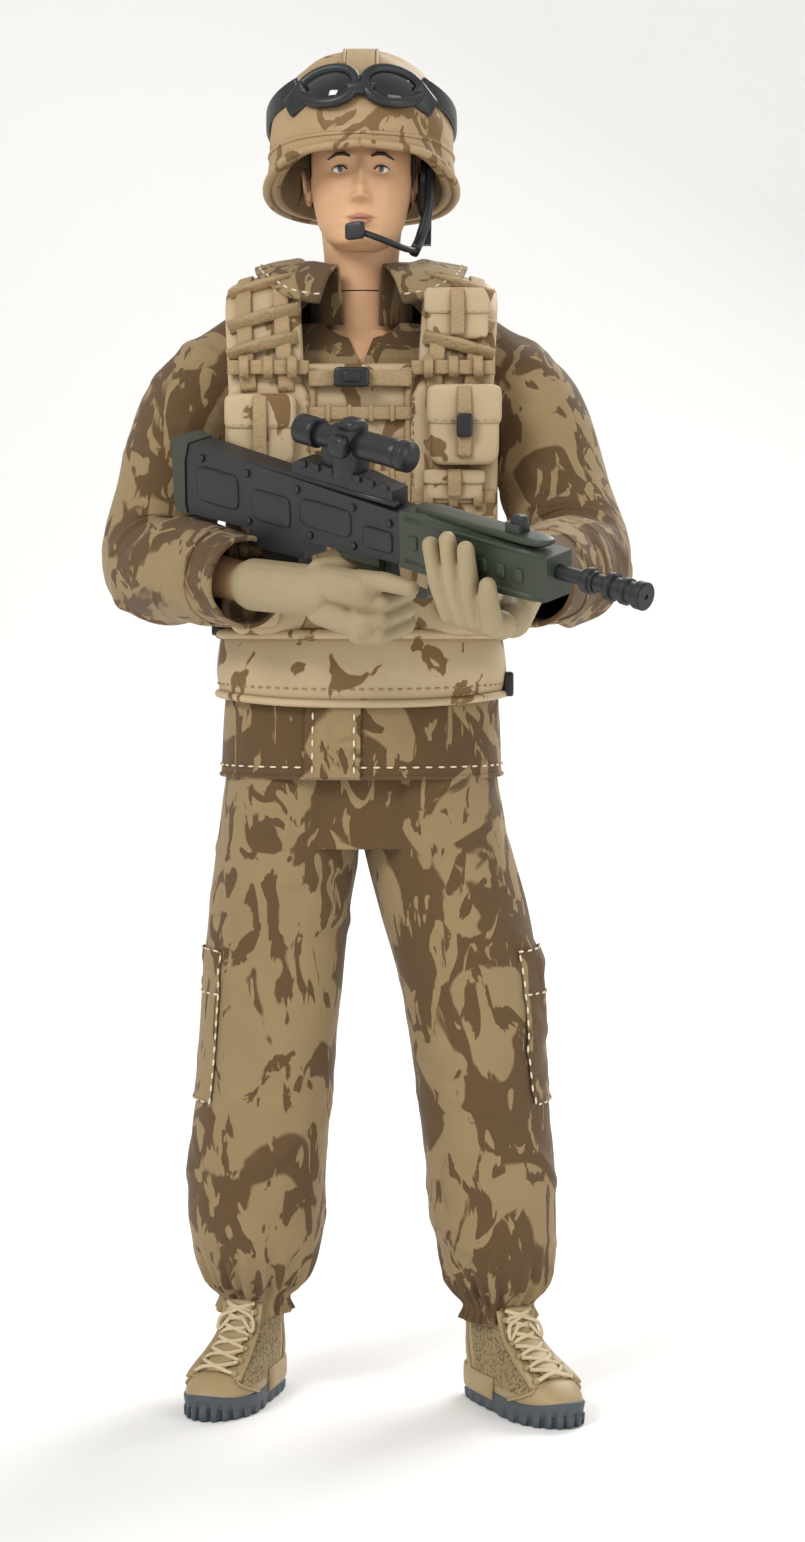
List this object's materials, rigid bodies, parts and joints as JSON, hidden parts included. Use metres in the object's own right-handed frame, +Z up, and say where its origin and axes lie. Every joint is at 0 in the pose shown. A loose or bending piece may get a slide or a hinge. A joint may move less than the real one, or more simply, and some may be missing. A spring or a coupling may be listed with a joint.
{
  "type": "jointed action figure",
  "caption": "Jointed soldier figure in a cloth desert uniform and soft vest, with lift-off helmet, goggles, headset, boots and a compact rifle in both hands.",
  "frame": {"origin": "on the floor, midway between the feet under the body's centre line", "axes": "+Z up, -Y the figure's front, +X the figure's left"},
  "size_m": [0.1015, 0.1157, 0.2606],
  "materials": {
    "body_plastic": "matt flesh-tone moulded plastic",
    "helmet_cover": "sand with brown patches, cloth grain",
    "black_plastic": "satin black",
    "lens": "polished black",
    "steel": "turned",
    "camouflage_cloth": "plain-woven cotton, sand with brown brush strokes",
    "sand_vinyl": "soft vinyl, sand with a brown wash",
    "sand_leather": "satin sand moulded to look like leather",
    "grey_rubber": "blue-grey, matt",
    "green_plastic": "satin dark green"
  },
  "bodies": {
    "pelvis": {"pelvis_block": "body_plastic", "trouser_seat": "camouflage_cloth"},
    "torso": {"torso_front_shell": "body_plastic", "torso_back_shell": "body_plastic", "torso_screws": "steel", "shirt_body": "camouflage_cloth", "shirt_collar": "camouflage_cloth", "shirt_skirt": "camouflage_cloth", "vest_front": "sand_vinyl", "vest_back": "sand_vinyl", "vest_pouches": "sand_vinyl", "chest_buckle": "black_plastic", "waist_flap": "sand_vinyl"},
    "neck": {"neck_ball": "body_plastic"},
    "head": {"head": "body_plastic", "headset_band": "black_plastic", "microphone_boom": "black_plastic"},
    "helmet": {"helmet": "helmet_cover", "goggle_frame": "black_plastic", "goggle_lenses": "lens", "goggle_strap": "black_plastic"},
    "rifle": {"rifle_receiver": "black_plastic", "rifle_handguard": "green_plastic", "rifle_barrel": "black_plastic", "rifle_butt_pad": "green_plastic", "rifle_sight": "black_plastic", "rifle_grip": "green_plastic", "rifle_magazine": "black_plastic"},
    "right_upper_arm": {"right_upper_arm": "body_plastic", "right_elbow_pin": "steel", "right_upper_sleeve": "camouflage_cloth"},
    "right_forearm": {"right_forearm": "body_plastic", "right_lower_sleeve": "camouflage_cloth", "right_hand": "sand_leather"},
    "right_thigh": {"right_hip_disc": "body_plastic", "right_thigh": "body_plastic", "right_knee_pin": "steel", "right_trouser_thigh": "camouflage_cloth"},
    "right_shin": {"right_shin": "body_plastic", "right_trouser_shin": "camouflage_cloth"},
    "right_foot": {"right_boot": "sand_leather", "right_sole": "grey_rubber", "right_ankle_pin": "steel"},
    "left_upper_arm": {"left_upper_arm": "body_plastic", "left_elbow_pin": "steel", "left_upper_sleeve": "camouflage_cloth"},
    "left_forearm": {"left_forearm": "body_plastic", "left_lower_sleeve": "camouflage_cloth", "left_hand": "sand_leather"},
    "left_thigh": {"left_hip_disc": "body_plastic", "left_thigh": "body_plastic", "left_knee_pin": "steel", "left_trouser_thigh": "camouflage_cloth"},
    "left_shin": {"left_shin": "body_plastic", "left_trouser_shin": "camouflage_cloth"},
    "left_foot": {"left_boot": "sand_leather", "left_sole": "grey_rubber", "left_ankle_pin": "steel"}
  },
  "joints": [
    {"name": "waist_turn", "type": "hinge", "parent": "pelvis", "child": "torso", "pos_m": [0, 0, 0.146], "axis": [0, 0, 1], "range_deg": [-15, 15], "deforming": ["shirt_skirt", "trouser_seat"]},
    {"name": "neck_turn", "type": "hinge", "parent": "torso", "child": "neck", "pos_m": [0, 0.001, 0.21], "axis": [0, 0, 1], "range_deg": [-40, 40]},
    {"name": "head_nod", "type": "hinge", "parent": "neck", "child": "head", "pos_m": [0, 0.001, 0.222], "axis": [1, 0, 0], "range_deg": [-8, 8]},
    {"name": "helmet_lift", "type": "slide", "parent": "head", "child": "helmet", "axis": [0, 0, 1], "range_m": [0, 0.04]},
    {"name": "right_shoulder_swing", "type": "hinge", "parent": "torso", "child": "right_upper_arm", "pos_m": [-0.0265, 0.002, 0.201], "axis": [-1, 0, 0], "range_deg": [0, 25], "deforming": ["right_upper_sleeve"]},
    {"name": "left_shoulder_swing", "type": "hinge", "parent": "torso", "child": "left_upper_arm", "pos_m": [0.0265, 0.002, 0.201], "axis": [-1, 0, 0], "range_deg": [0, 25], "deforming": ["left_upper_sleeve"]},
    {"name": "right_elbow_bend", "type": "hinge", "parent": "right_upper_arm", "child": "right_forearm", "pos_m": [-0.0415, -0.002, 0.163], "axis": [-0.7261, -0.5924, 0.349], "range_deg": [0, 5], "deforming": ["right_lower_sleeve"]},
    {"name": "left_elbow_bend", "type": "hinge", "parent": "left_upper_arm", "child": "left_forearm", "pos_m": [0.042, -0.012, 0.163], "axis": [-0.8136, 0.353, -0.4619], "range_deg": [-60, 0], "deforming": ["left_lower_sleeve"]},
    {"name": "rifle_lift", "type": "slide", "parent": "right_forearm", "child": "rifle", "axis": [-0.0219, -0.3507, 0.9362], "range_m": [0, 0.03]},
    {"name": "right_hip_swing", "type": "hinge", "parent": "pelvis", "child": "right_thigh", "pos_m": [-0.0125, 0, 0.117], "axis": [-1, 0, 0], "range_deg": [-10, 45], "deforming": ["right_trouser_thigh"]},
    {"name": "right_knee_bend", "type": "hinge", "parent": "right_thigh", "child": "right_shin", "pos_m": [-0.0201, -0.002, 0.066], "axis": [0.944, -0.328, -0.0353], "range_deg": [0, 40], "deforming": ["right_trouser_shin"]},
    {"name": "right_ankle_tilt", "type": "hinge", "parent": "right_shin", "child": "right_foot", "pos_m": [-0.021, 0.001, 0.014], "axis": [0.9397, -0.342, 0], "range_deg": [-12, 12]},
    {"name": "left_hip_swing", "type": "hinge", "parent": "pelvis", "child": "left_thigh", "pos_m": [0.0125, 0, 0.117], "axis": [-1, 0, 0], "range_deg": [-10, 45], "deforming": ["left_trouser_thigh"]},
    {"name": "left_knee_bend", "type": "hinge", "parent": "left_thigh", "child": "left_shin", "pos_m": [0.0225, -0.004, 0.066], "axis": [0.8831, 0.4665, 0.05], "range_deg": [0, 40], "deforming": ["left_trouser_shin"]},
    {"name": "left_ankle_tilt", "type": "hinge", "parent": "left_shin", "child": "left_foot", "pos_m": [0.0265, -0.006, 0.014], "axis": [0.866, 0.5, 0], "range_deg": [-12, 12]}
  ],
  "couplings": [
    {"joint": "left_shoulder_swing", "follows": "right_shoulder_swing", "ratio": 1}
  ]
}
